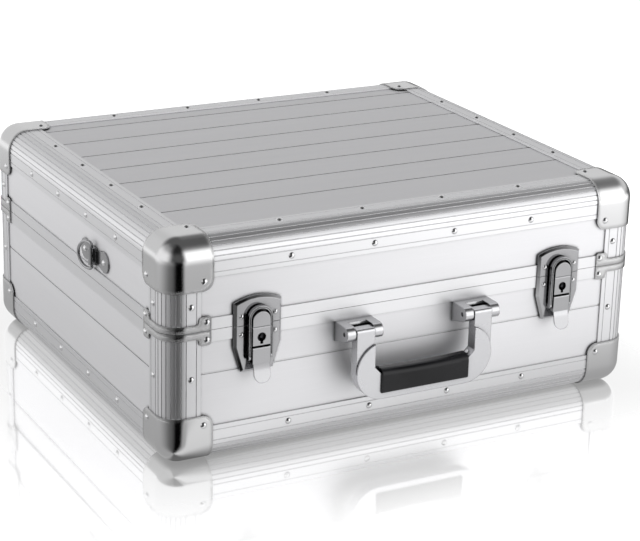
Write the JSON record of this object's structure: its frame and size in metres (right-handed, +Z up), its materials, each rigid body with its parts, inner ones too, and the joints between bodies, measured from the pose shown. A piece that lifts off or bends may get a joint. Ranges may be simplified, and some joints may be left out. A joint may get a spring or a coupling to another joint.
{
  "type": "flight case",
  "caption": "Aluminium-skinned flight case with fluted edge profiles, chrome ball corners, a hinged lid, lever latches with locks, a drop handle and strap rings.",
  "frame": {"origin": "on the floor, under the middle of the case's bounding box (closed lid, handle hanging)", "axes": "+X along the front to the right as seen from the front, +Y from the latched front to the hinged back, +Z up"},
  "size_m": [0.501, 0.453, 0.2065],
  "materials": {
    "panel_aluminium": "satin",
    "profile_aluminium": "satin",
    "corner_chrome": "polished",
    "fitting_chrome": "polished",
    "rivet_steel": "satin",
    "pin_steel": "satin",
    "hinge_steel": "satin",
    "handle_metal": "satin",
    "grip_plastic": "gloss",
    "lining_foam": "matte"
  },
  "bodies": {
    "base": {"base_bottom_panel": "panel_aluminium", "base_front_panel": "panel_aluminium", "base_back_panel": "panel_aluminium", "base_left_panel": "panel_aluminium", "base_right_panel": "panel_aluminium", "base_front_edge": "profile_aluminium", "base_back_edge": "profile_aluminium", "base_left_edge": "profile_aluminium", "base_right_edge": "profile_aluminium", "base_corner_posts": "profile_aluminium", "base_rim": "profile_aluminium", "base_corner_front_left": "corner_chrome", "base_corner_front_right": "corner_chrome", "base_corner_back_left": "corner_chrome", "base_corner_back_right": "corner_chrome", "base_corner_braces": "corner_chrome", "base_rivets": "rivet_steel", "base_lining": "lining_foam", "latch_base_left": "fitting_chrome", "latch_base_right": "fitting_chrome", "latch_pins": "pin_steel", "handle_bracket_left": "fitting_chrome", "handle_bracket_right": "fitting_chrome", "handle_pins": "pin_steel", "hinge_base_leaves": "hinge_steel", "hinge_pins": "pin_steel"},
    "lid": {"lid_top_panel": "panel_aluminium", "lid_front_panel": "panel_aluminium", "lid_back_panel": "panel_aluminium", "lid_left_panel": "panel_aluminium", "lid_right_panel": "panel_aluminium", "lid_front_edge": "profile_aluminium", "lid_back_edge": "profile_aluminium", "lid_left_edge": "profile_aluminium", "lid_right_edge": "profile_aluminium", "lid_corner_posts": "profile_aluminium", "lid_rim": "profile_aluminium", "lid_corner_front_left": "corner_chrome", "lid_corner_front_right": "corner_chrome", "lid_corner_back_left": "corner_chrome", "lid_corner_back_right": "corner_chrome", "lid_corner_braces": "corner_chrome", "lid_rivets": "rivet_steel", "lid_lining": "lining_foam", "catch_plate_left": "fitting_chrome", "catch_plate_right": "fitting_chrome", "strap_plate_left": "fitting_chrome", "strap_plate_right": "fitting_chrome", "hinge_lid_leaves": "hinge_steel"},
    "lever_left": {"latch_lever_left": "fitting_chrome"},
    "bail_left": {"latch_bail_left": "fitting_chrome"},
    "lock_left": {"lock_plug_left": "pin_steel"},
    "ring_left": {"strap_ring_left": "fitting_chrome"},
    "lever_right": {"latch_lever_right": "fitting_chrome"},
    "bail_right": {"latch_bail_right": "fitting_chrome"},
    "lock_right": {"lock_plug_right": "pin_steel"},
    "ring_right": {"strap_ring_right": "fitting_chrome"},
    "handle": {"handle_frame": "handle_metal", "handle_grip": "grip_plastic", "handle_grip_screws": "rivet_steel"}
  },
  "joints": [
    {"name": "lid_hinge", "type": "hinge", "parent": "base", "child": "lid", "pos_m": [0, 0.22305, 0.1232], "axis": [-1, 0, 0], "range_deg": [0, 95]},
    {"name": "lever_left_pivot", "type": "hinge", "parent": "base", "child": "lever_left", "pos_m": [-0.1544, -0.20475, 0.1012], "axis": [-1, 0, 0], "range_deg": [0, 110]},
    {"name": "bail_left_pivot", "type": "hinge", "parent": "lever_left", "child": "bail_left", "pos_m": [-0.1544, -0.20405, 0.0946], "axis": [-1, 0, 0], "range_deg": [-122, 0]},
    {"name": "lock_left_turn", "type": "hinge", "parent": "base", "child": "lock_left", "pos_m": [-0.1544, -0.20175, 0.1135], "axis": [0, -1, 0], "range_deg": [0, 90]},
    {"name": "ring_left_swing", "type": "hinge", "parent": "lid", "child": "ring_left", "pos_m": [-0.243, -0.04325, 0.1467], "axis": [0, 0, 1], "range_deg": [-15, 140]},
    {"name": "lever_right_pivot", "type": "hinge", "parent": "base", "child": "lever_right", "pos_m": [0.1544, -0.20475, 0.1012], "axis": [-1, 0, 0], "range_deg": [0, 110]},
    {"name": "bail_right_pivot", "type": "hinge", "parent": "lever_right", "child": "bail_right", "pos_m": [0.1544, -0.20405, 0.0946], "axis": [-1, 0, 0], "range_deg": [-122, 0]},
    {"name": "lock_right_turn", "type": "hinge", "parent": "base", "child": "lock_right", "pos_m": [0.1544, -0.20175, 0.1135], "axis": [0, -1, 0], "range_deg": [0, 90]},
    {"name": "ring_right_swing", "type": "hinge", "parent": "lid", "child": "ring_right", "pos_m": [0.243, -0.04325, 0.1467], "axis": [0, 0, -1], "range_deg": [-15, 140]},
    {"name": "handle_pivot", "type": "hinge", "parent": "base", "child": "handle", "pos_m": [0, -0.21455, 0.1054], "axis": [-1, 0, 0], "range_deg": [0, 90]}
  ],
  "couplings": [
    {"joint": "bail_left_pivot", "follows": "lever_left_pivot", "ratio": -1.1},
    {"joint": "bail_right_pivot", "follows": "lever_right_pivot", "ratio": -1.1}
  ]
}
